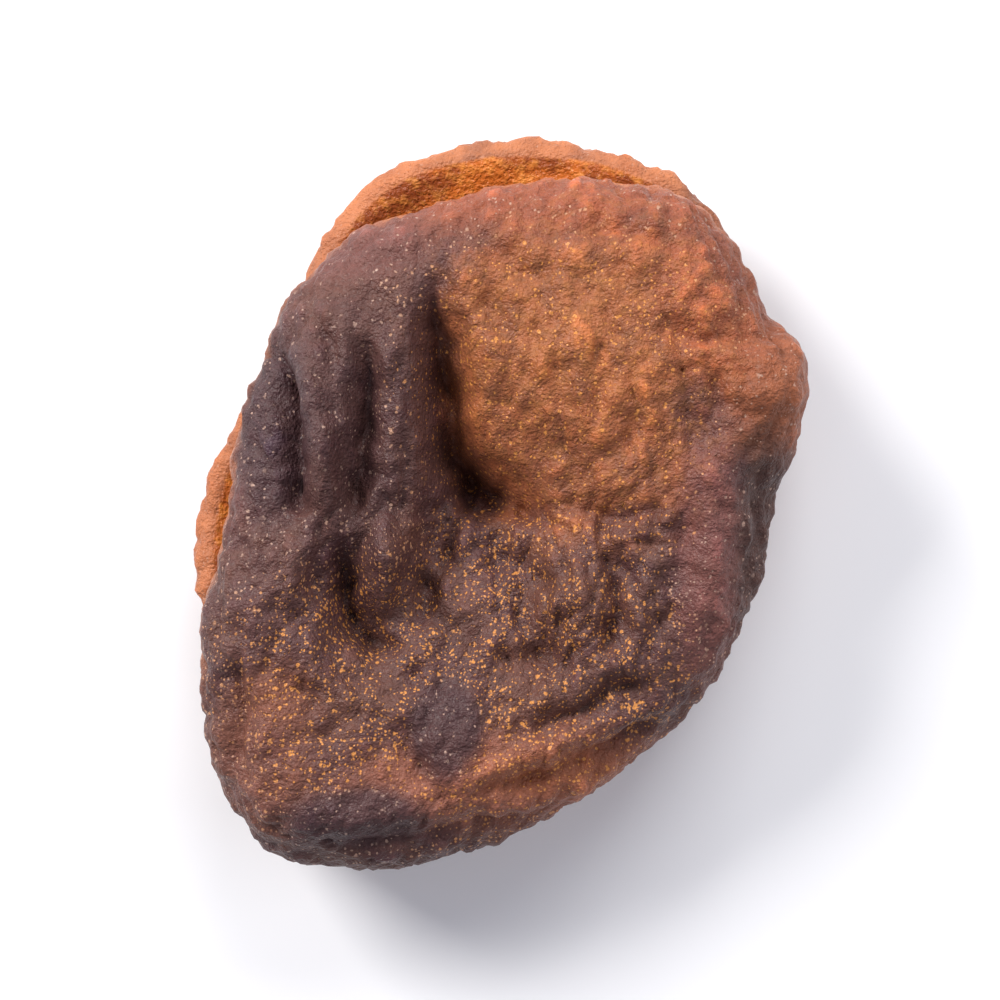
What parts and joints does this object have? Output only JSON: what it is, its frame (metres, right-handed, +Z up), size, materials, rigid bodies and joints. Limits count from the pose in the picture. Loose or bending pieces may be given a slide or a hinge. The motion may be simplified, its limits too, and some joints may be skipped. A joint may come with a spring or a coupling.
{
  "type": "dried apricot",
  "caption": "Whole pitted dried apricot: two flattened, wrinkled halves that gape along the seam round one end, lying on a small flat spot.",
  "frame": {"origin": "centre of the bounding box in X and Y, on the surface that the fruit lies on", "axes": "+Z up out of the hollowed face, +Y towards the gaping end, +X towards the side where the halves are joined"},
  "size_m": [0.0306, 0.0366, 0.012],
  "materials": {
    "dried_skin": "waxy wrinkled fruit skin, grey-brown to amber"
  },
  "bodies": {
    "root": {"apricot": "dried_skin"}
  },
  "joints": []
}
